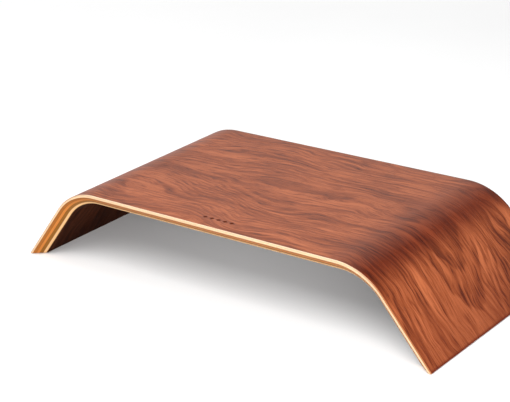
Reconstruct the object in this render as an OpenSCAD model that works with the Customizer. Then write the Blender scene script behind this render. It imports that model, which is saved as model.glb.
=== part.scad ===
/* [Overall] */
// Overall length, between the outer bottom corners of the two legs
stand_l = 550; // [480:1:700]
// Overall depth, from the tip of the front edge to the tip of the rear edge
stand_d = 260; // [180:1:340]
// Overall height, from the table to the top face
stand_h = 95; // [80:1:130]

/* [Bends and legs] */
// Radius of the outer face round each bend
bend_r = 73; // [40:1:90]
// Slope of each leg, in degrees below the horizontal
leg_slope = 51; // [48:1:75]

/* [Layers] */
// Thickness of each of the two walnut face veneers
face_t = 0.6; // [0.5:0.1:1.2]
// Thickness of each of the five core plies
core_t = 2.5; // [1.5:0.1:3]

/* [Long edges] */
// Undercut of the front and rear edges, in degrees from a square edge
edge_slope = 45; // [30:1:50]
// Radius round the tip of the edge, where it meets the top face
tip_r = 1.8; // [1:0.1:2.5]
// Radius where the undercut runs out into the under face
heel_r = 1.5; // [0.5:0.1:2]

/* [Foot pads] */
// Thickness of each pad
pad_t = 1; // [0.5:0.1:2]
// Width of each pad, across the leg's end
pad_w = 9; // [6:0.5:12]
// Length of each pad, along the leg's end
pad_l = 60; // [30:1:70]
// Gap from the end of the pad to the tip of the nearer edge
pad_end_gap = 22; // [18:1:30]

/* [Ornament] */
// Number of lozenges in the engraved row near the front edge
lozenges = 5; // [3:1:9]
// Length of each lozenge, along the stand
lozenge_l = 6; // [3:0.5:8]
// Width of each lozenge, across the stand
lozenge_w = 4; // [2:0.5:6]
// Spacing of the lozenges
lozenge_pitch = 9; // [8:0.5:14]
// Distance of the row from the tip of the front edge
lozenge_edge_gap = 21; // [12:1:40]
// Depth of the engraving
lozenge_depth = 0.3; // [0.1:0.05:0.4]

/* [Hidden] */

CORE_PLIES = 5;
board_t = 2 * face_t + CORE_PLIES * core_t;

// Each leg starts this far back inside its bend, and is drawn thinner than the bend by this
// inset on every face, so that its root lies wholly within the bend's end.
leg_root = 0.5;
leg_inset = 0.01;

// The outer face at the leg's end is stand_l / 2 from the middle. What the bend and the leg
// take up of that is worked back to give the half length of the flat top.
bend_drop = bend_r * (1 - cos(leg_slope));
leg_rise = stand_h - pad_t - bend_drop;
leg_run = leg_rise / tan(leg_slope) - leg_inset / sin(leg_slope);
flat_half = stand_l / 2 - leg_run - bend_r * sin(leg_slope);

// Each leg is drawn this long and then cut level, which is past the level cut on both faces.
leg_l = (leg_rise + board_t) / sin(leg_slope);

// Width of the level cut at the end of each leg.
foot_w = board_t / sin(leg_slope);

// The edge's outline turns from the top face through the tip to the undercut, and later from
// the undercut to the under face. Turns are in degrees from the top face's own normal.
tip_turn = 90 + edge_slope;
heel_turn = 90 - edge_slope;
tip_steps = 9;
heel_steps = 4;

// Where the undercut leaves the tip: set back from the tip, and depth below the top face.
tip_end = [tip_r * (1 - sin(tip_turn)), tip_r * (1 - cos(tip_turn))];
// Set back of the sharp corner that the heel's radius replaces, and of the radius's centre.
heel_corner = tip_end[0] + (board_t - tip_end[1]) * tan(edge_slope);
heel_back = heel_corner + heel_r * tan(heel_turn / 2);

// Points of one long edge, as [set back from the tip, depth below the top face], drawn inside
// the true outline by `inset`.
function edge_points(inset) = concat(
    [for (i = [0 : tip_steps])
        let (turn = tip_turn * i / tip_steps, r = tip_r - inset)
        [tip_r - r * sin(turn), tip_r - r * cos(turn)]],
    [for (i = [0 : heel_steps])
        let (turn = tip_turn + heel_turn * i / heel_steps, r = heel_r - inset)
        [heel_back - r * sin(turn), board_t - heel_r - r * cos(turn)]]
);

// Section of the whole board: x runs from front to rear, y is 0 on the outer face.
module board_section(inset) {
    edge = edge_points(inset);
    last = len(edge) - 1;
    polygon(concat(
        [for (p = edge) [p[0] - stand_d / 2, -p[1]]],
        [for (i = [last : -1 : 0]) [stand_d / 2 - edge[i][0], -edge[i][1]]]
    ));
}

// Section of one layer: the part of the board between two depths below the outer face.
module layer_section(depth, thickness, inset = 0) {
    intersection() {
        board_section(inset);
        translate([-stand_d, inset - depth - thickness])
            square([2 * stand_d, thickness - 2 * inset]);
    }
}

// A straight run of a layer, along +X, with its outer face at z = 0.
module straight_run(depth, thickness, length, inset = 0) {
    rotate([90, 0, 90]) linear_extrude(length) layer_section(depth, thickness, inset);
}

// The right-hand bend of a layer, about an axis along Y through the origin.
module bend_run(depth, thickness) {
    rotate([90, 0, 0])
        rotate_extrude(start = 90 - leg_slope, angle = leg_slope, $fn = 180)
            translate([bend_r, 0]) mirror([1, -1, 0]) layer_section(depth, thickness);
}

// The right-hand half of a layer, from the middle of the stand: flat, bend and leg.
module half_layer(depth, thickness) {
    translate([flat_half, 0, stand_h - bend_r]) {
        mirror([1, 0, 0]) translate([0, 0, bend_r]) straight_run(depth, thickness, flat_half);
        bend_run(depth, thickness);
        rotate([0, leg_slope, 0])
            translate([-leg_root, 0, bend_r])
                straight_run(depth, thickness, leg_root + leg_l, leg_inset);
    }
}

// One layer of the board from leg to leg, cut level at the pads.
module layer(depth, thickness) {
    difference() {
        union() {
            half_layer(depth, thickness);
            mirror([1, 0, 0]) half_layer(depth, thickness);
        }
        translate([-stand_l, -stand_d, pad_t - stand_h]) cube([2 * stand_l, 2 * stand_d, stand_h]);
    }
}

module lozenge_row() {
    for (i = [0 : lozenges - 1])
        translate([
            (i - (lozenges - 1) / 2) * lozenge_pitch,
            lozenge_edge_gap - stand_d / 2,
            stand_h - lozenge_depth
        ])
            linear_extrude(lozenge_depth + 1)
                polygon([[-lozenge_l / 2, 0], [0, -lozenge_w / 2], [lozenge_l / 2, 0], [0, lozenge_w / 2]]);
}

// Walnut veneer on the top and the outer faces of the legs.
module top_face_veneer() {
    color("#8a4f3a") difference() {
        layer(0, face_t);
        lozenge_row();
    }
}

// The core's plies lie lengthways and crossways in turn, so that every second one shows its
// darker end grain along the long edges.
module core_ply(number) {
    color(number % 2 == 1 ? "#e0a569" : "#b8743a") layer(face_t + (number - 1) * core_t, core_t);
}

// Walnut veneer under the top and on the inner faces of the legs.
module under_face_veneer() {
    color("#4a261c") layer(board_t - face_t, face_t);
}

// Non-slip pad under one leg's end: side is -1 on the left, and row is -1 at the front.
module foot_pad(side, row) {
    pad_x = stand_l / 2 - foot_w / 2;
    pad_y = stand_d / 2 - pad_end_gap - pad_l / 2;
    color("#2b2b2b")
        translate([side * pad_x - pad_w / 2, row * pad_y - pad_l / 2, 0]) cube([pad_w, pad_l, pad_t]);
}

top_face_veneer();
core_ply(1);  // core_ply_1
core_ply(2);  // core_ply_2
core_ply(3);  // core_ply_3
core_ply(4);  // core_ply_4
core_ply(5);  // core_ply_5
under_face_veneer();
foot_pad(-1, -1);  // foot_pad_front_left
foot_pad(1, -1);  // foot_pad_front_right
foot_pad(-1, 1);  // foot_pad_rear_left
foot_pad(1, 1);  // foot_pad_rear_right
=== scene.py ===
import math

import bpy
from mathutils import Matrix, Vector


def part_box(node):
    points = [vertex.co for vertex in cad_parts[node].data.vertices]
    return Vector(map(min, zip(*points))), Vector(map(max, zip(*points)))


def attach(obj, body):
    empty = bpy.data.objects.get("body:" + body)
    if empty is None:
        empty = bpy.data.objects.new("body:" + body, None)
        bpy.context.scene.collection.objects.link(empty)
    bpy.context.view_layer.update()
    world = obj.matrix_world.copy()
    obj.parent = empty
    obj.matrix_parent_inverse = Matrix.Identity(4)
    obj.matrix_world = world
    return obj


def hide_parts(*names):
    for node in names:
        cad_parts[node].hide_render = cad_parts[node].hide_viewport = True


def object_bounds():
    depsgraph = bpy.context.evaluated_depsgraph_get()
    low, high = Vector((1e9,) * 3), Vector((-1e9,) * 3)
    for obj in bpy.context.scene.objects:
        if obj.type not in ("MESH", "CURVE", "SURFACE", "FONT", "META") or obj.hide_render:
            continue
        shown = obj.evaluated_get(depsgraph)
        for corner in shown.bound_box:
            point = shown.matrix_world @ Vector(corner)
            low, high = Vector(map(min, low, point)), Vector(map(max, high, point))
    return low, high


# A desk stand of bent plywood, in metres: +X along its length, +Y from front to rear, +Z up.
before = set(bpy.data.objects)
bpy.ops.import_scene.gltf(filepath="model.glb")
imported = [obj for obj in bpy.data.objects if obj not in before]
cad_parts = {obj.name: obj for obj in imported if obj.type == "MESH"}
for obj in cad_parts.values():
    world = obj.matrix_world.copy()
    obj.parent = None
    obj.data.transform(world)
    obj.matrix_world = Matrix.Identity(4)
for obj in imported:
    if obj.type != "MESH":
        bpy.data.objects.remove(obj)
CAD_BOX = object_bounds()

# ---------------------------------------------------------------- sizes read from the frame

# The layers of the board, outermost first.
LAYERS = (
    "top_face_veneer",
    "core_ply_1",
    "core_ply_2",
    "core_ply_3",
    "core_ply_4",
    "core_ply_5",
    "under_face_veneer",
)
PADS = (
    "foot_pad_front_left",
    "foot_pad_front_right",
    "foot_pad_rear_left",
    "foot_pad_rear_right",
)

LENGTH = CAD_BOX[1].x - CAD_BOX[0].x
DEPTH = CAD_BOX[1].y - CAD_BOX[0].y
HEIGHT = CAD_BOX[1].z
PAD_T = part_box(PADS[0])[1].z
# Heights closer than this are the same.
SAME_HEIGHT = 1e-6


def layer_tops():
    """Depths of the layers' outer faces below the top, then that of the board's under face."""
    tops = [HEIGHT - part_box(node)[1].z for node in LAYERS]
    return tops + [tops[-1] + tops[1]]


TOPS = layer_tops()
BOARD_T = TOPS[-1]


def bend_shape():
    """Leg slope, half length of the flat top and outer radius of the bends."""
    outer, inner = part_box("core_ply_1")[1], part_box("core_ply_5")[1]
    slope = math.asin((outer.z - inner.z) / (outer.x - inner.x))
    top = [v.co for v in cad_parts[LAYERS[0]].data.vertices]
    flat = max(co.x for co in top if co.z > HEIGHT - SAME_HEIGHT)
    rise = HEIGHT - PAD_T
    radius = (LENGTH / 2 - flat - rise / math.tan(slope)) / (
        math.sin(slope) - (1 - math.cos(slope)) / math.tan(slope)
    )
    return slope, flat, radius


SLOPE, FLAT_HALF, BEND_R = bend_shape()
# Lengths along the outer face, as if the board were unrolled flat.
BEND_L = BEND_R * SLOPE
LEG_L = (HEIGHT - PAD_T - BEND_R * (1 - math.cos(SLOPE))) / math.sin(SLOPE)
HALF_UNROLLED = FLAT_HALF + BEND_L + LEG_L

# ---------------------------------------------------------------- shape of the long edges

# The edge is cut back under the top. TIP_R rounds its upper corner and HEEL_R its lower one.
EDGE_SLOPE = math.radians(45)
TIP_R = 0.0018
HEEL_R = 0.0015
# How far the tip's arc turns, and how far back and down it ends.
TIP_TURN = math.pi / 2 + EDGE_SLOPE
TIP_BACK = TIP_R * (1 - math.sin(TIP_TURN))
TIP_DEPTH = TIP_R * (1 - math.cos(TIP_TURN))
# How far back the edge would meet the under face without the heel's arc, and where that arc ends.
HEEL_CORNER = TIP_BACK + (BOARD_T - TIP_DEPTH) * math.tan(EDGE_SLOPE)
HEEL_BACK = HEEL_CORNER + HEEL_R * math.tan((math.pi - TIP_TURN) / 2)
ARC_STEP = math.radians(5)
# Depths closer than this are the same.
SAME_DEPTH = 1e-5


def edge_outline():
    """The edge from the top face to the under face, as (depth below the top, set back from the tip)."""
    points = []
    tip_steps = round(TIP_TURN / ARC_STEP)
    for i in range(tip_steps + 1):
        turn = TIP_TURN * i / tip_steps
        points.append((TIP_R * (1 - math.cos(turn)), TIP_R * (1 - math.sin(turn))))
    heel_turn = math.pi - TIP_TURN
    heel_steps = round(heel_turn / ARC_STEP)
    for i in range(heel_steps + 1):
        turn = TIP_TURN + heel_turn * i / heel_steps
        depth = BOARD_T - HEEL_R * (1 + math.cos(turn))
        points.append((depth, HEEL_BACK - HEEL_R * math.sin(turn)))
    return points


OUTLINE = edge_outline()


def set_back(depth):
    """How far behind the tip the edge lies at this depth below the top face."""
    for (d0, y0), (d1, y1) in zip(OUTLINE, OUTLINE[1:]):
        if depth <= d1:
            return y0 + (y1 - y0) * (depth - d0) / (d1 - d0)
    return OUTLINE[-1][1]


# ---------------------------------------------------------------- mesh helpers


def new_mesh(name, verts, faces):
    """A mesh from its points and faces."""
    mesh = bpy.data.meshes.new(name)
    mesh.from_pydata(verts, [], faces)
    mesh.update()
    return mesh


def closed_mesh(name, rings):
    """A closed mesh through rings of equally many points: the sides ring by ring, then both ends."""
    n = len(rings[0])
    faces = []
    for r in range(len(rings) - 1):
        for i in range(n):
            j = (i + 1) % n
            faces.append((r * n + i, r * n + j, r * n + n + j, r * n + n + i))
    last = (len(rings) - 1) * n
    faces.append(tuple(reversed(range(n))))
    faces.append(tuple(range(last, last + n)))
    return new_mesh(name, [point for ring in rings for point in ring], faces)


def add_object(name, data):
    """A new object in the scene, with this mesh, light or camera."""
    obj = bpy.data.objects.new(name, data)
    bpy.context.scene.collection.objects.link(obj)
    return obj


def smooth(obj, angle):
    """Smooth shading, with creases sharper than this angle in degrees kept."""
    mesh = obj.data
    mesh.polygons.foreach_set("use_smooth", [True] * len(mesh.polygons))
    mesh.set_sharp_from_angle(angle=math.radians(angle))


# ---------------------------------------------------------------- meshes of the layers

ACROSS_STEPS = 16
FLAT_STEPS = 72
BEND_STEPS = 40
LEG_STEPS = 20

# Values of the face attribute "cut".
BOARD_FACE = 0
LONG_EDGE = 1
LEG_END = 2


def section(top, under):
    """A layer's section as a closed loop of (y, depth), front edge first, and the kind of each side."""
    inner = [d for d, _ in OUTLINE if top + SAME_DEPTH < d < under - SAME_DEPTH]
    front = [(set_back(d) - DEPTH / 2, d) for d in (top, *inner, under)]
    half_top, half_under = -front[0][0], -front[-1][0]
    below = [(half_under * (2 * i / ACROSS_STEPS - 1), under) for i in range(1, ACROSS_STEPS)]
    rear = [(-y, d) for y, d in reversed(front)]
    above = [(half_top * (1 - 2 * i / ACROSS_STEPS), top) for i in range(1, ACROSS_STEPS)]
    kinds = [LONG_EDGE] * (len(front) - 1) + [BOARD_FACE] * ACROSS_STEPS
    return front + below + rear + above, kinds + kinds


def stations():
    """Places of the rings along the right half: (run, share of that run), from the middle outwards."""
    flat = [("flat", i / FLAT_STEPS) for i in range(FLAT_STEPS + 1)]
    bend = [("bend", i / BEND_STEPS) for i in range(1, BEND_STEPS + 1)]
    leg = [("leg", i / LEG_STEPS) for i in range(1, LEG_STEPS + 1)]
    return flat + bend + leg


def place(run, share, depth):
    """x and z of a point on the right half, at this share of a run and depth below the outer face."""
    if run == "flat":
        return FLAT_HALF * share, HEIGHT - depth
    turn = SLOPE * share if run == "bend" else SLOPE
    x = FLAT_HALF + (BEND_R - depth) * math.sin(turn)
    z = HEIGHT - BEND_R + (BEND_R - depth) * math.cos(turn)
    if run == "leg":
        along = share * (z - PAD_T) / math.sin(SLOPE)
        x, z = x + along * math.cos(SLOPE), z - along * math.sin(SLOPE)
    return x, z


def layer_mesh(name, top, under):
    """One layer of the board as a closed mesh, from the left leg's end to the right leg's end."""
    loop, kinds = section(top, under)
    right = stations()
    all_stations = [(-1, *s) for s in reversed(right[1:])] + [(1, *s) for s in right]
    rings = []
    for side, run, share in all_stations:
        ring = []
        for y, depth in loop:
            x, z = place(run, share, depth)
            ring.append((side * x, y, z))
        rings.append(ring)
    mesh = closed_mesh(name, rings)
    attribute = mesh.attributes.new("cut", "INT", "FACE")
    attribute.data.foreach_set("value", kinds * (len(rings) - 1) + [LEG_END, LEG_END])
    return mesh


def grain_place(co):
    """(length along the outer face, y, depth below it) of a point of the board."""
    x = abs(co.x)
    if x <= FLAT_HALF:
        return co.x, co.y, HEIGHT - co.z
    side = math.copysign(1, co.x)
    dx, dz = x - FLAT_HALF, co.z - (HEIGHT - BEND_R)
    turn = math.atan2(dx, dz)
    if turn <= SLOPE:
        return side * (FLAT_HALF + BEND_R * turn), co.y, BEND_R - math.hypot(dx, dz)
    along = dx * math.cos(SLOPE) - dz * math.sin(SLOPE)
    depth = BEND_R - dx * math.sin(SLOPE) - dz * math.cos(SLOPE)
    return side * (FLAT_HALF + BEND_L + along), co.y, depth


def lay_grain(mesh):
    """Stores where each point lies in the unrolled board, so that the grain follows the bends."""
    attribute = mesh.attributes.new("grain", "FLOAT_VECTOR", "POINT")
    values = [c for v in mesh.vertices for c in grain_place(v.co)]
    attribute.data.foreach_set("vector", values)


# ---------------------------------------------------------------- engraved row

LOZENGES = 5
LOZENGE_L = 0.006
LOZENGE_W = 0.004
LOZENGE_PITCH = 0.009
LOZENGE_EDGE_GAP = 0.021
LOZENGE_Y = CAD_BOX[0].y + LOZENGE_EDGE_GAP
LOZENGE_DEPTH = 0.0003
CUTTER_RISE = 0.001


def lozenge_cutter():
    """The row of lozenges as one mesh of upright prisms through the top face."""
    verts, faces = [], []
    corners = ((-LOZENGE_L, 0), (0, -LOZENGE_W), (LOZENGE_L, 0), (0, LOZENGE_W))
    for i in range(LOZENGES):
        x = (i - (LOZENGES - 1) / 2) * LOZENGE_PITCH
        first = len(verts)
        for z in (HEIGHT - LOZENGE_DEPTH, HEIGHT + CUTTER_RISE):
            verts += [(x + dx / 2, LOZENGE_Y + dy / 2, z) for dx, dy in corners]
        faces.append(tuple(first + k for k in (3, 2, 1, 0)))
        faces.append(tuple(first + 4 + k for k in range(4)))
        for k in range(4):
            j = (k + 1) % 4
            faces.append((first + k, first + j, first + 4 + j, first + 4 + k))
    return new_mesh("lozenges", verts, faces)


def engrave(obj, burnt):
    """Cuts the lozenges into the top face, with the burnt material in them."""
    mesh = lozenge_cutter()
    mesh.materials.append(burnt)
    cutter = add_object("lozenges", mesh)
    cut = obj.modifiers.new("engraving", "BOOLEAN")
    cut.operation = "DIFFERENCE"
    cut.solver = "EXACT"
    cut.material_mode = "TRANSFER"
    cut.object = cutter
    depsgraph = bpy.context.evaluated_depsgraph_get()
    cut_mesh = bpy.data.meshes.new_from_object(obj.evaluated_get(depsgraph))
    obj.modifiers.clear()
    obj.data = cut_mesh
    bpy.data.objects.remove(cutter)


# ---------------------------------------------------------------- foot pads

PAD_CORNER = 0.0016
PAD_EASE = 0.0002
PAD_CORNER_STEPS = 8
PAD_EASE_STEPS = 3


def pad_ring(low, high, inset, z):
    """A rectangle with round corners, drawn in by inset, as points at height z."""
    radius = PAD_CORNER - inset
    ring = []
    for corner, (sx, sy) in enumerate(((1, 1), (-1, 1), (-1, -1), (1, -1))):
        cx = (high.x if sx > 0 else low.x) - sx * (inset + radius)
        cy = (high.y if sy > 0 else low.y) - sy * (inset + radius)
        for i in range(PAD_CORNER_STEPS + 1):
            turn = (corner + i / PAD_CORNER_STEPS) * math.pi / 2
            ring.append((cx + radius * math.cos(turn), cy + radius * math.sin(turn), z))
    return ring


def pad_mesh(name, low, high):
    """A pad with round corners in plan and eased edges, between two corners."""
    eases = [
        (PAD_EASE * (1 - math.sin(turn)), PAD_EASE * (1 - math.cos(turn)))
        for turn in (math.pi / 2 * i / PAD_EASE_STEPS for i in range(PAD_EASE_STEPS + 1))
    ]
    lower = [pad_ring(low, high, inset, low.z + rise) for inset, rise in eases]
    upper = [pad_ring(low, high, inset, high.z - drop) for drop, inset in eases]
    return closed_mesh(name, lower + upper)


# ---------------------------------------------------------------- node helpers


class Nodes:
    """A material's node tree, with short calls for the nodes that the woods use."""

    def __init__(self, name):
        self.material = bpy.data.materials.new(name)
        self.material.use_nodes = True
        self.tree = self.material.node_tree
        self.tree.nodes.clear()
        self.shader = self.add("ShaderNodeBsdfPrincipled")
        output = self.add("ShaderNodeOutputMaterial")
        self.tree.links.new(self.shader.outputs["BSDF"], output.inputs["Surface"])

    def add(self, kind, **settings):
        """A new node with these settings."""
        node = self.tree.nodes.new(kind)
        for key, value in settings.items():
            setattr(node, key, value)
        return node

    def put(self, socket, value):
        """Links an output to a socket, or sets the socket's own value."""
        if isinstance(value, bpy.types.NodeSocket):
            self.tree.links.new(value, socket)
        else:
            socket.default_value = value

    def math(self, operation, *values, clamp=False):
        """The output of a math node."""
        node = self.add("ShaderNodeMath", operation=operation, use_clamp=clamp)
        for socket, value in zip(node.inputs, values):
            self.put(socket, value)
        return node.outputs[0]

    def vector(self, operation, a, b):
        """The output of a vector math node with two vectors."""
        node = self.add("ShaderNodeVectorMath", operation=operation)
        self.put(node.inputs[0], a)
        self.put(node.inputs[1], b)
        return node.outputs[0]

    def swing(self, value, reach):
        """A value from 0 to 1 turned into one from minus to plus half of reach."""
        return self.math("MULTIPLY", self.math("SUBTRACT", value, 0.5), reach)

    def length(self, a):
        """The length of a vector."""
        node = self.add("ShaderNodeVectorMath", operation="LENGTH")
        self.put(node.inputs[0], a)
        return node.outputs["Value"]

    def attribute(self, name, output="Vector"):
        """A value stored in the mesh."""
        return self.add("ShaderNodeAttribute", attribute_name=name).outputs[output]

    def split(self, vector):
        """The three parts of a vector."""
        node = self.add("ShaderNodeSeparateXYZ")
        self.put(node.inputs[0], vector)
        return node.outputs

    def join(self, x, y, z):
        """A vector from its three parts."""
        node = self.add("ShaderNodeCombineXYZ")
        for socket, value in zip(node.inputs, (x, y, z)):
            self.put(socket, value)
        return node.outputs[0]

    def noise(self, vector, scale, detail=2.0, roughness=0.5):
        """Fractal noise, from about 0 to 1, with scale in cycles per metre for x, y and z."""
        node = self.add("ShaderNodeTexNoise", noise_dimensions="3D")
        self.put(node.inputs["Vector"], self.vector("MULTIPLY", vector, scale))
        self.put(node.inputs["Scale"], 1.0)
        self.put(node.inputs["Detail"], detail)
        self.put(node.inputs["Roughness"], roughness)
        return node.outputs[0]

    def range(self, value, low, high, to_low=0.0, to_high=1.0, smooth=False):
        """value taken from low..high to to_low..to_high, held at the ends."""
        node = self.add("ShaderNodeMapRange")
        node.interpolation_type = "SMOOTHSTEP" if smooth else "LINEAR"
        for socket, number in zip(node.inputs, (value, low, high, to_low, to_high)):
            self.put(socket, number)
        return node.outputs[0]

    def mix(self, share, a, b, blend="MIX"):
        """Colour b laid over colour a, by share."""
        node = self.add("ShaderNodeMix", data_type="RGBA", blend_type=blend)
        colours = [s for s in node.inputs if s.type == "RGBA"]
        self.put(node.inputs[0], share)
        self.put(colours[0], (*a, 1) if isinstance(a, tuple) else a)
        self.put(colours[1], (*b, 1) if isinstance(b, tuple) else b)
        return next(s for s in node.outputs if s.type == "RGBA")

    def bump(self, height, distance, strength):
        """The normal that a height gives, with its full height in metres as distance."""
        node = self.add("ShaderNodeBump")
        self.put(node.inputs["Height"], height)
        self.put(node.inputs["Distance"], distance)
        self.put(node.inputs["Strength"], strength)
        return node.outputs[0]

    def finish(self, colour, roughness, normal, **sockets):
        """The material with its last sockets set, where an underscore stands for a space."""
        self.put(self.shader.inputs["Base Color"], colour)
        self.put(self.shader.inputs["Roughness"], roughness)
        self.put(self.shader.inputs["Normal"], normal)
        for name, value in sockets.items():
            self.put(self.shader.inputs[name.replace("_", " ")], value)
        return self.material


# ---------------------------------------------------------------- walnut

# The wood's features, as cycles per metre along the board, across it and through it.
DRIFT = (5.0, 9.0, 0.0)
WAVES = (17.0, 26.0, 1.0)
WANDER = (4.0, 9.0, 0.0)
RIPPLE = (9.0, 60.0, 0.0)
PATCHES = (9.0, 40.0, 0.0)
BANDS = (3.0, 120.0, 0.0)
STREAKS = (14.0, 330.0, 300.0)
FADING = (14.0, 30.0, 1.0)
FLECKS = (42.0, 560.0, 500.0)
FIBRES = (70.0, 2400.0, 2400.0)
PORES = (150.0, 3200.0, 3200.0)

# How far the slow features push the grain and the rings aside, in metres.
DRIFT_REACH = 0.050
WAVES_REACH = 0.018
WANDER_REACH = 0.10
RIPPLE_REACH = 0.007

# The rings run round a pith that is nearest under the middle of the top, and falls away to the legs.
# Each ring goes from 0 to 1: its late wood darkens over LATE_WOOD and fades again after RING_FADE.
RINGS_PER_METRE = 130.0
LATE_WOOD = (0.20, 0.85)
RING_FADE = 0.88
PITH_NEAREST = 0.020
PITH_FALL = 0.30
# The rings bulge over an oval on the left of the top.
OVAL_AT = (-0.110, -0.055, 0.0)
OVAL_HALF = (0.150, 0.055, 1.0)
OVAL_HEIGHT = 0.040

# The noise values between which a feature comes in.
STREAK_SPAN = (0.25, 0.75)
FADING_SPAN = (0.35, 0.65)
FLECK_SPAN = (0.50, 0.66)
PORE_SPAN = (0.62, 0.72)

# How strongly each feature shows in the tone, from 0 for dark wood to 1 for light.
TONE = 0.72
RING_ON_TOP = 0.26
RING_ON_LEG = 0.34
PATCH_ON_TOP = 0.9
PATCH_ON_LEG = 1.3
STREAK_SHARE = 1.3
BAND_SHARE = 1.0
FLECK_SHARE = 0.34
FIBRE_SHARE = 0.3
FADED = 0.35
UNFADED = 1.15
PORE_SHARE = 0.45
PORE_TINT = (0.4, 0.4, 0.4)

# The painted shade across each bend, a dark band: its middle on the unrolled board, and its reach to
# either side.
BEND_SHADE_AT = FLAT_HALF + 0.53 * BEND_L
BEND_SHADE_TO_TOP = 0.070
BEND_SHADE_TO_LEG = 0.034
BEND_SHADE_TINT = (0.44, 0.28, 0.22)
BEND_SHADE_ON_LEFT = 0.3
SIDE_CHANGE = 0.01

# Painted shade near the rims and down to the feet, and a painted shadow in the last millimetres of the
# legs.
RIM_NEAR = 0.0010
RIM_FAR = 0.0045
RIM_ON_TOP = 0.30
RIM_ON_LEG = 0.80
RIM_GROWS_FROM = 0.3 * FLAT_HALF
FOOT_REACH = 0.075
FOOT_SHARE = 0.28
END_LINE_NEAR = 0.0006
END_LINE_FAR = 0.0026
END_LINE_SHARE = 0.95
PAINTED_SHADE_TINT = (1.3, 0.8, 0.3)

# The scorched halo ends at a lozenge this many times as large.
SCORCH_REACH = 2.0
SCORCH_SHARE = 0.8
SCORCHED = (0.100, 0.018, 0.006)

# A painted sheen, the lacquer's reflection of the pale room, is added to the colour. The cut face's tints
# multiply the light tone; the one on the top paints a highlight.
SHEEN_TINT = (0.010, 0.014, 0.014)
PAINTED_HIGHLIGHT_ON_TOP = (1.45, 3.8, 7.0)
SANDED_ON_LEG = (0.75, 1.0, 1.1)

# Roughness gained by the dullest streaks and by the pores, and the relief of fibres and pores.
STREAK_ROUGH = 0.10
PORE_ROUGH = 0.15
FIBRE_HEIGHT = 0.35
WALNUT_RELIEF = 0.00006


def tinted(colour, tint):
    """A colour multiplied channel by channel."""
    return tuple(c * t for c, t in zip(colour, tint))


def grain_shift(n, board, seed):
    """The slow sideways push that makes the whole figure meander."""
    drift = n.noise(n.vector("ADD", board, (seed, 0.0, 0.0)), DRIFT, detail=2.0)
    waves = n.noise(n.vector("ADD", board, (0.0, seed, 3.0)), WAVES, detail=2.0)
    shift = n.math("ADD", n.swing(drift, DRIFT_REACH), n.swing(waves, WAVES_REACH))
    return n.join(0.0, shift, 0.0)


def growth_rings(n, grain, offset):
    """Late wood of the growth rings, 0 to 1: long lines on the top that open into flames on the legs."""
    along, across, _ = n.split(grain)
    place_in = n.vector("ADD", grain, offset)
    wander = n.noise(place_in, WANDER, detail=1.0)
    ripple = n.noise(place_in, RIPPLE, detail=3.0, roughness=0.5)
    aside = n.math("ADD", across, n.swing(wander, WANDER_REACH))
    from_pith = n.math("ADD", n.math("MULTIPLY", n.math("POWER", along, 2.0), PITH_FALL), PITH_NEAREST)
    reach = n.math("SQRT", n.math("ADD", n.math("POWER", aside, 2.0), n.math("POWER", from_pith, 2.0)))
    from_oval = n.vector("DIVIDE", n.vector("SUBTRACT", grain, OVAL_AT), OVAL_HALF)
    oval = n.range(n.length(from_oval), 0.0, 1.0, OVAL_HEIGHT, 0.0, smooth=True)
    bent = n.math("ADD", reach, n.swing(ripple, RIPPLE_REACH))
    bent = n.math("ADD", bent, oval)
    ring = n.math("FRACT", n.math("MULTIPLY", bent, RINGS_PER_METRE))
    late_wood = n.range(ring, *LATE_WOOD, smooth=True)
    ring_end = n.range(ring, RING_FADE, 1.0, 1.0, 0.0, smooth=True)
    return n.math("MULTIPLY", late_wood, ring_end)


def walnut_tone(n, grain, rings, streaks, fibres, on_leg):
    """Dark to light, 0 to 1. The figure is plainer on the flat top and stronger down the legs."""
    patches = n.noise(grain, PATCHES, detail=2.0, roughness=0.5)
    bands = n.noise(grain, BANDS, detail=3.0, roughness=0.6)
    fading = n.noise(n.vector("ADD", grain, (0.0, 0.0, 7.0)), FADING, detail=2.0)
    flecks = n.noise(grain, FLECKS, detail=2.0, roughness=0.6)
    figure = n.math("MULTIPLY", rings, n.range(on_leg, 0.0, 1.0, RING_ON_TOP, RING_ON_LEG))
    figure = n.math("MULTIPLY", figure, n.range(fading, *FADING_SPAN, FADED, UNFADED, smooth=True))
    tone = n.swing(patches, n.range(on_leg, 0.0, 1.0, PATCH_ON_TOP, PATCH_ON_LEG))
    tone = n.math("ADD", tone, n.swing(streaks, STREAK_SHARE))
    tone = n.math("ADD", tone, n.swing(bands, BAND_SHARE))
    tone = n.math("SUBTRACT", tone, n.range(flecks, *FLECK_SPAN, 0.0, FLECK_SHARE, smooth=True))
    tone = n.math("ADD", tone, n.swing(fibres, FIBRE_SHARE))
    return n.math("ADD", n.math("SUBTRACT", tone, figure), TONE, clamp=True)


def painted_bend_shade(n, along):
    """The painted shade across each bend, a dark band from 0 to 1, fainter on the left one."""
    out = n.math("ABSOLUTE", along)
    rise = n.range(out, BEND_SHADE_AT - BEND_SHADE_TO_TOP, BEND_SHADE_AT, smooth=True)
    fall = n.range(out, BEND_SHADE_AT, BEND_SHADE_AT + BEND_SHADE_TO_LEG, 1.0, 0.0, smooth=True)
    by_side = n.range(along, 0.0, SIDE_CHANGE, BEND_SHADE_ON_LEFT, 1.0)
    return n.math("MULTIPLY", n.math("MULTIPLY", rise, fall), by_side)


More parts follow.
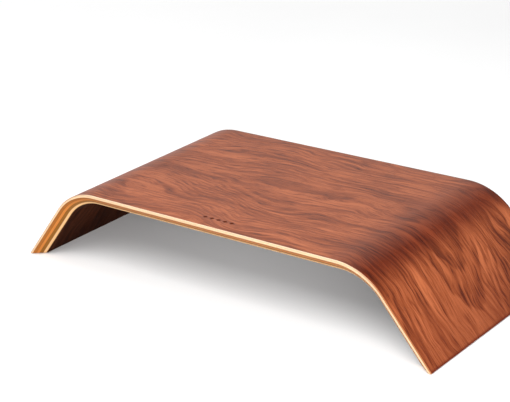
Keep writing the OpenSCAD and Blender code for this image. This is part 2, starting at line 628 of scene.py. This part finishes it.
def painted_rim_and_foot_shade(n, out, across):
    """Where painted shade darkens the wood, 0 to 1: along the rims, down the legs, and as a painted
    shadow at their ends.
    """
    to_edge = n.math("SUBTRACT", DEPTH / 2, n.math("ABSOLUTE", across))
    to_end = n.math("SUBTRACT", HALF_UNROLLED, out)
    to_rim = n.math("MINIMUM", to_edge, to_end)
    # Painted shade along the rims.
    near_rim = n.range(to_rim, RIM_NEAR, RIM_FAR, 1.0, 0.0, smooth=True)
    strength = n.range(out, RIM_GROWS_FROM, FLAT_HALF, RIM_ON_TOP, RIM_ON_LEG, smooth=True)
    # Painted shade down the last stretch of each leg.
    foot = n.range(out, HALF_UNROLLED - FOOT_REACH, HALF_UNROLLED, 0.0, FOOT_SHARE, smooth=True)
    # A painted shadow where the leg's end meets the floor.
    end_shadow = n.range(to_end, END_LINE_NEAR, END_LINE_FAR, END_LINE_SHARE, 0.0, smooth=True)
    rim = n.math("MULTIPLY", near_rim, strength)
    return n.math("MAXIMUM", n.math("MAXIMUM", rim, foot), end_shadow)


def scorch(n, along, across, colour):
    """The brown halo that the burning leaves in the wood around each lozenge."""
    last = (LOZENGES - 1) / 2
    number = n.math("ROUND", n.math("DIVIDE", along, LOZENGE_PITCH))
    number = n.math("MINIMUM", n.math("MAXIMUM", number, -last), last)
    beside = n.math("ABSOLUTE", n.math("SUBTRACT", along, n.math("MULTIPLY", number, LOZENGE_PITCH)))
    above = n.math("ABSOLUTE", n.math("SUBTRACT", across, LOZENGE_Y))
    reach = n.math("ADD", n.math("DIVIDE", beside, LOZENGE_L / 2), n.math("DIVIDE", above, LOZENGE_W / 2))
    return n.mix(n.range(reach, 1.0, SCORCH_REACH, SCORCH_SHARE, 0.0, smooth=True), colour, SCORCHED)


def cut_face_with_painted_highlight(n, across, on_leg, dark, light):
    """The veneer's cut face: sanded in front, with a painted highlight that makes it palest along the
    top, and dark at the rear.
    """
    front = n.mix(on_leg, tinted(light, PAINTED_HIGHLIGHT_ON_TOP), tinted(light, SANDED_ON_LEG))
    return n.mix(n.math("GREATER_THAN", across, 0.0), front, dark)


def walnut(name, dark, middle, light, seed, gloss, matt, painted_sheen, engraved=False):
    """Lacquered walnut veneer, flat sawn: growth rings, patches, streaks, fibres and pores."""
    n = Nodes(name)
    board = n.attribute("grain")
    along, across, _ = n.split(board)
    out = n.math("ABSOLUTE", along)
    on_leg = n.range(out, FLAT_HALF, FLAT_HALF + BEND_L, smooth=True)

    offset = (seed, seed * 0.7, 0.0)
    sideways = grain_shift(n, board, seed)
    rings = growth_rings(n, n.vector("ADD", board, sideways), offset)
    grain = n.vector("ADD", n.vector("ADD", board, offset), sideways)
    streaks = n.noise(grain, STREAKS, detail=4.0, roughness=0.65)
    fibres = n.noise(grain, FIBRES, detail=2.0, roughness=0.6)
    pores = n.range(n.noise(grain, PORES, detail=1.0), *PORE_SPAN, smooth=True)

    tone = walnut_tone(n, grain, rings, streaks, fibres, on_leg)
    colour = n.mix(n.range(tone, 0.0, 0.5), dark, middle)
    colour = n.mix(n.range(tone, 0.5, 1.0), colour, light)
    colour = n.mix(n.math("MULTIPLY", pores, PORE_SHARE), colour, tinted(dark, PORE_TINT))
    # Painted shade: a dark band across each bend.
    colour = n.mix(painted_bend_shade(n, along), colour, BEND_SHADE_TINT, blend="MULTIPLY")
    # Painted shade along the rims and down the legs, and a painted shadow at the legs' ends.
    colour = n.mix(painted_rim_and_foot_shade(n, out, across), colour, tinted(dark, PAINTED_SHADE_TINT))
    if engraved:
        colour = scorch(n, along, across, colour)
    # The painted sheen lies on the flat top, and is gone halfway round the bend.
    sheen_share = n.range(on_leg, 0.0, 0.5, 1.0, 0.0)
    colour = n.mix(sheen_share, colour, tuple(painted_sheen * c for c in SHEEN_TINT), blend="ADD")
    on_cut = n.math("GREATER_THAN", n.attribute("cut", "Fac"), (BOARD_FACE + LONG_EDGE) / 2)
    # The cut face carries a painted highlight along the top.
    colour = n.mix(on_cut, colour, cut_face_with_painted_highlight(n, across, on_leg, dark, light))

    rough = n.range(streaks, *STREAK_SPAN, matt, matt + STREAK_ROUGH)
    roughness = n.math("ADD", rough, n.math("MULTIPLY", pores, PORE_ROUGH))
    height = n.math("SUBTRACT", n.math("MULTIPLY", fibres, FIBRE_HEIGHT), pores)
    normal = n.bump(height, WALNUT_RELIEF, strength=0.6)
    return n.finish(colour, roughness, normal, IOR=1.5, Specular_IOR_Level=gloss)


# ---------------------------------------------------------------- plies, burnt wood and rubber

# Cycles per metre along the board, across it and through it.
LENGTHWAYS_STREAKS = (12.0, 900.0, 900.0)
CROSSWAYS_STREAKS = (700.0, 12.0, 900.0)
LENGTHWAYS_FIBRES = (60.0, 3500.0, 3500.0)
CROSSWAYS_FIBRES = (2800.0, 60.0, 3500.0)
PLY_PATCHES = (9.0, 30.0, 60.0)
CHAR = (900.0, 2600.0, 2600.0)
DUST = (90.0, 90.0, 90.0)
PEBBLES_PER_METRE = 1400.0

# Light and shade of a ply's streaks and patches, and how much its pores darken each kind of grain.
PLY_STREAK_SHADE = (0.78, 1.18)
PLY_PATCH_SHADE = (-0.08, 0.08)
PLY_PORE_SPAN = (0.60, 0.72)
PLY_PORE_SHARE = (0.25, 0.6)
PLY_PORE_TINT = (0.35, 0.35, 0.35)
PLY_ROUGH = (0.42, 0.56)
PLY_GLOSS = 0.12
PLY_RELIEF = 0.00005
PATCH_SPAN = (0.3, 0.7)
GLUE_REACH = 0.00035
GLUE_SHARE = 0.65
GLUE = (0.090, 0.030, 0.008)
CHAR_DARK = (0.040, 0.007, 0.002)
CHAR_LIGHT = (0.120, 0.022, 0.007)
CHAR_ROUGH = (0.65, 0.85)
CHAR_GLOSS = 0.05
CHAR_RELIEF = 0.00008
RUBBER_DARK = (0.018, 0.018, 0.019)
RUBBER_DUSTY = (0.050, 0.048, 0.046)
RUBBER_ROUGH = (0.62, 0.80)
DUST_SPAN = (0.45, 0.75)
PEBBLE_RELIEF = 0.00008


def glue_lines(n, layer, depth):
    """Dark where a core ply meets its neighbours, up to GLUE_SHARE."""
    from_top = n.math("SUBTRACT", depth, TOPS[layer])
    from_under = n.math("SUBTRACT", TOPS[layer + 1], depth)
    to_face = n.math("MINIMUM", from_top, from_under)
    return n.range(to_face, 0.0, GLUE_REACH, GLUE_SHARE, 0.0, smooth=True)


def ply(name, layer, colour_along, colour_end, lengthways, seed):
    """Sanded ply: streaks along its grain, pores in its end grain, and glue lines at both faces."""
    n = Nodes(name)
    board = n.attribute("grain")
    grain = n.vector("ADD", board, (seed, seed * 0.3, seed * 0.01))
    streak_scale = LENGTHWAYS_STREAKS if lengthways else CROSSWAYS_STREAKS
    fibre_scale = LENGTHWAYS_FIBRES if lengthways else CROSSWAYS_FIBRES
    streaks = n.noise(grain, streak_scale, detail=3.0, roughness=0.6)
    fibres = n.noise(grain, fibre_scale, detail=2.0)
    patches = n.noise(grain, PLY_PATCHES, detail=2.0)

    # The end grain of a lengthways ply shows at the legs' ends, and of a crossways one on the edges.
    end_face = LEG_END if lengthways else LONG_EDGE
    end = n.math("COMPARE", n.attribute("cut", "Fac"), end_face, 0.5)
    colour = n.mix(end, colour_along, colour_end)
    streak_shade = n.range(streaks, *STREAK_SPAN, *PLY_STREAK_SHADE)
    shade = n.math("ADD", streak_shade, n.range(patches, *PATCH_SPAN, *PLY_PATCH_SHADE))
    colour = n.mix(1.0, colour, n.join(shade, shade, shade), blend="MULTIPLY")
    pore_share = n.range(end, 0.0, 1.0, *PLY_PORE_SHARE)
    pores = n.math("MULTIPLY", n.range(fibres, *PLY_PORE_SPAN, smooth=True), pore_share)
    colour = n.mix(pores, colour, tinted(colour_end, PLY_PORE_TINT))
    colour = n.mix(glue_lines(n, layer, n.split(board)[2]), colour, GLUE)

    roughness = n.range(streaks, *STREAK_SPAN, *PLY_ROUGH)
    normal = n.bump(n.math("SUBTRACT", streaks, pores), PLY_RELIEF, strength=0.6)
    return n.finish(colour, roughness, normal, IOR=1.5, Specular_IOR_Level=PLY_GLOSS)


def burnt_wood(name):
    """The floor and walls of the engraving: scorched, matt and uneven."""
    n = Nodes(name)
    char = n.noise(n.attribute("grain"), CHAR, detail=3.0, roughness=0.6)
    colour = n.mix(n.range(char, *PATCH_SPAN), CHAR_DARK, CHAR_LIGHT)
    roughness = n.range(char, *PATCH_SPAN, *CHAR_ROUGH)
    normal = n.bump(char, CHAR_RELIEF, strength=0.8)
    return n.finish(colour, roughness, normal, IOR=1.45, Specular_IOR_Level=CHAR_GLOSS)


def rubber(name):
    """Matt black rubber with a fine pebbled face."""
    n = Nodes(name)
    place_in = n.add("ShaderNodeTexCoord").outputs["Object"]
    pebbles = n.add("ShaderNodeTexVoronoi", feature="SMOOTH_F1")
    n.put(pebbles.inputs["Vector"], place_in)
    n.put(pebbles.inputs["Scale"], PEBBLES_PER_METRE)
    dust = n.noise(place_in, DUST, detail=3.0)
    colour = n.mix(n.range(dust, *DUST_SPAN), RUBBER_DARK, RUBBER_DUSTY)
    roughness = n.range(dust, *PATCH_SPAN, *RUBBER_ROUGH)
    normal = n.bump(pebbles.outputs["Distance"], PEBBLE_RELIEF, strength=0.7)
    return n.finish(colour, roughness, normal, IOR=1.5)


# Dark, middle and light tones of the outer veneer. The under veneer is the same wood, much darker, as
# painted shade.
WALNUT = ((0.066, 0.0095, 0.0022), (0.208, 0.0450, 0.0125), (0.375, 0.1030, 0.0370))
UNDER_PAINTED_SHADE = (0.13, 0.13, 0.13)
SHADED_WALNUT_UNDER = [tinted(colour, UNDER_PAINTED_SHADE) for colour in WALNUT]

CREAM = (0.490, 0.325, 0.195)
IVORY = (0.500, 0.290, 0.130)
AMBER = (0.360, 0.120, 0.020)
PALE_END = (0.300, 0.130, 0.040)
TAN = (0.310, 0.130, 0.036)
BROWN_END = (0.255, 0.082, 0.011)
OLIVE_END = (0.180, 0.068, 0.007)

# Each core ply has its own wood, as on any plywood: (name, colour along the grain, colour of the end
# grain, whether its grain runs lengthways).
CORE_WOODS = (
    ("core_1_lengthways", CREAM, PALE_END, True),
    ("core_2_crossways", TAN, BROWN_END, False),
    ("core_3_lengthways", AMBER, PALE_END, True),
    ("core_4_crossways", TAN, OLIVE_END, False),
    ("core_5_lengthways", IVORY, PALE_END, True),
)


def board_woods():
    """The material of each layer, from the outer veneer to the under one."""
    outer = walnut(
        "walnut_outer", *WALNUT, seed=0.0, gloss=0.085, matt=0.36, painted_sheen=1.0, engraved=True
    )
    core = [
        ply(name, layer, along, end, lengthways, seed=float(layer))
        for layer, (name, along, end, lengthways) in enumerate(CORE_WOODS, start=1)
    ]
    # The under veneer: the outer walnut with painted shade.
    under = walnut("walnut_under", *SHADED_WALNUT_UNDER, seed=3.0, gloss=0.02, matt=0.60, painted_sheen=0.0)
    return [outer, *core, under]


# ---------------------------------------------------------------- pieces

# Edges that turn by more than this many degrees stay sharp.
BOARD_CREASE = 24
PAD_CREASE = 40


def stand_in(obj, node):
    """Shows obj in place of a CAD node, attached to the root body, and hides the node."""
    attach(obj, "root")
    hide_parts(node)


def build_layers():
    """The seven layers of the board. The outermost one carries the engraved row."""
    for node, top, under, wood in zip(LAYERS, TOPS, TOPS[1:], board_woods()):
        obj = add_object(node + ".shown", layer_mesh(node + ".shown", top, under))
        obj.data.materials.append(wood)
        if node == "top_face_veneer":
            engrave(obj, burnt_wood("burnt_wood"))
        lay_grain(obj.data)
        smooth(obj, BOARD_CREASE)
        stand_in(obj, node)


def build_pads():
    """The four foot pads, in the boxes of their CAD nodes."""
    pad_rubber = rubber("pad_rubber")
    for node in PADS:
        obj = add_object(node + ".shown", pad_mesh(node + ".shown", *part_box(node)))
        obj.data.materials.append(pad_rubber)
        smooth(obj, PAD_CREASE)
        stand_in(obj, node)


build_layers()
build_pads()

# ---------------------------------------------------------------- stage, lights and camera

FLOOR_HALF = 12.0
FLOOR_ALBEDO = 0.86
FLOOR_UNEVEN = 0.01
FLOOR_CLOUD = (3.0, 3.0, 3.0)
# The floor begins to glow this far from the middle of the stand, and glows fully further out.
GLOW_FROM = 0.8
GLOW_FULL = 2.4
FLOOR_GLOW = 0.5
# The world's strength up to the first height, above the second one, and as the camera sees it.
WORLD_LOW = 1.10
WORLD_HIGH = 0.40
WORLD_SEEN = 1.05
WORLD_LOW_BELOW = 0.35
WORLD_HIGH_ABOVE = 0.65
WHITE = (1, 1, 1, 1)


def white_floor():
    """A plain white floor. Far from the stand, where the lamps don't reach, it glows a little."""
    s = FLOOR_HALF
    mesh = new_mesh("floor", [(-s, -s, 0), (s, -s, 0), (s, s, 0), (-s, s, 0)], [(0, 1, 2, 3)])
    floor = add_object("floor", mesh)
    n = Nodes("floor")
    place_in = n.add("ShaderNodeTexCoord").outputs["Object"]
    cloud = n.noise(place_in, FLOOR_CLOUD, detail=2.0)
    shade = n.range(cloud, *PATCH_SPAN, FLOOR_ALBEDO - FLOOR_UNEVEN, FLOOR_ALBEDO + FLOOR_UNEVEN)
    n.put(n.shader.inputs["Base Color"], n.join(shade, shade, shade))
    n.put(n.shader.inputs["Roughness"], 0.9)
    n.put(n.shader.inputs["Specular IOR Level"], 0.1)
    n.put(n.shader.inputs["Emission Color"], WHITE)
    glow = n.range(n.length(place_in), GLOW_FROM, GLOW_FULL, 0.0, FLOOR_GLOW, smooth=True)
    n.put(n.shader.inputs["Emission Strength"], glow)
    mesh.materials.append(n.material)


def studio_world():
    """A pale room, brightest near the horizon. The camera sees it plain white."""
    world = bpy.data.worlds.new("studio")
    bpy.context.scene.world = world
    world.use_nodes = True
    tree = world.node_tree
    tree.nodes.clear()
    direction = tree.nodes.new("ShaderNodeSeparateXYZ")
    tree.links.new(tree.nodes.new("ShaderNodeTexCoord").outputs["Generated"], direction.inputs[0])
    by_height = tree.nodes.new("ShaderNodeMapRange")
    by_height.interpolation_type = "SMOOTHSTEP"
    steps = (WORLD_LOW_BELOW, WORLD_HIGH_ABOVE, WORLD_LOW, WORLD_HIGH)
    for socket, value in zip(by_height.inputs[1:5], steps):
        socket.default_value = value
    tree.links.new(direction.outputs["Z"], by_height.inputs["Value"])
    seen = tree.nodes.new("ShaderNodeLightPath").outputs["Is Camera Ray"]
    strength = tree.nodes.new("ShaderNodeMapRange")
    strength.inputs["To Max"].default_value = WORLD_SEEN
    tree.links.new(seen, strength.inputs["Value"])
    tree.links.new(by_height.outputs[0], strength.inputs["To Min"])
    background = tree.nodes.new("ShaderNodeBackground")
    background.inputs["Color"].default_value = WHITE
    tree.links.new(strength.outputs[0], background.inputs["Strength"])
    output = tree.nodes.new("ShaderNodeOutputWorld")
    tree.links.new(background.outputs[0], output.inputs["Surface"])


def softbox(name, place_at, aim, size, power, mirrored=True):
    """A soft rectangular lamp, hidden from the camera and, unless mirrored, from reflections."""
    data = bpy.data.lights.new(name, "AREA")
    data.shape = "RECTANGLE"
    data.size, data.size_y = size
    data.energy = power
    lamp = add_object(name, data)
    lamp.location = place_at
    lamp.rotation_mode = "QUATERNION"
    lamp.rotation_quaternion = (Vector(aim) - Vector(place_at)).to_track_quat("-Z", "Y")
    lamp.visible_camera = False
    lamp.visible_glossy = mirrored


def lights():
    """One lamp overhead, one high in front, and two low ones that reach under the arch."""
    under_arch = (-0.1, -0.05, 0.0)
    softbox("overhead", (-0.5, 0.3, 1.5), (0, 0, HEIGHT), size=(1.2, 1.2), power=9)
    softbox("front", (0.0, -1.0, 1.45), (0, -0.1, 0), size=(2.0, 0.9), power=24)
    softbox("side", (1.5, -1.1, 0.45), under_arch, size=(0.8, 0.4), power=20, mirrored=False)
    softbox("low", (0.5, -1.5, 0.38), under_arch, size=(0.8, 0.4), power=15, mirrored=False)


# The camera's direction and distance from the point it looks at, and its lens in millimetres.
CAMERA_AZIMUTH = math.radians(38.768)
CAMERA_ELEVATION = math.radians(21.684)
CAMERA_ROLL = math.radians(-2.716)
CAMERA_DISTANCE = 1.7224
CAMERA_AIM = (-0.0369, 0.0, 0.0717)
CAMERA_LENS = 107.73
SENSOR_WIDTH = 36


def camera():
    """The camera, to the right of the front and above it, looking down at the stand."""
    azimuth, elevation, roll = CAMERA_AZIMUTH, CAMERA_ELEVATION, CAMERA_ROLL
    back = Vector((
        math.sin(azimuth) * math.cos(elevation),
        -math.cos(azimuth) * math.cos(elevation),
        math.sin(elevation),
    ))
    level = Vector((math.cos(azimuth), math.sin(azimuth), 0))
    rise = back.cross(level)
    right = math.cos(roll) * level + math.sin(roll) * rise
    up = math.cos(roll) * rise - math.sin(roll) * level
    data = bpy.data.cameras.new("camera")
    data.sensor_width = SENSOR_WIDTH
    data.lens = CAMERA_LENS
    cam = add_object("camera", data)
    place_at = Vector(CAMERA_AIM) + back * CAMERA_DISTANCE
    cam.matrix_world = Matrix.Translation(place_at) @ Matrix((right, up, back)).transposed().to_4x4()
    bpy.context.scene.camera = cam


white_floor()
studio_world()
lights()
camera()
bpy.context.scene.view_settings.view_transform = "Standard"
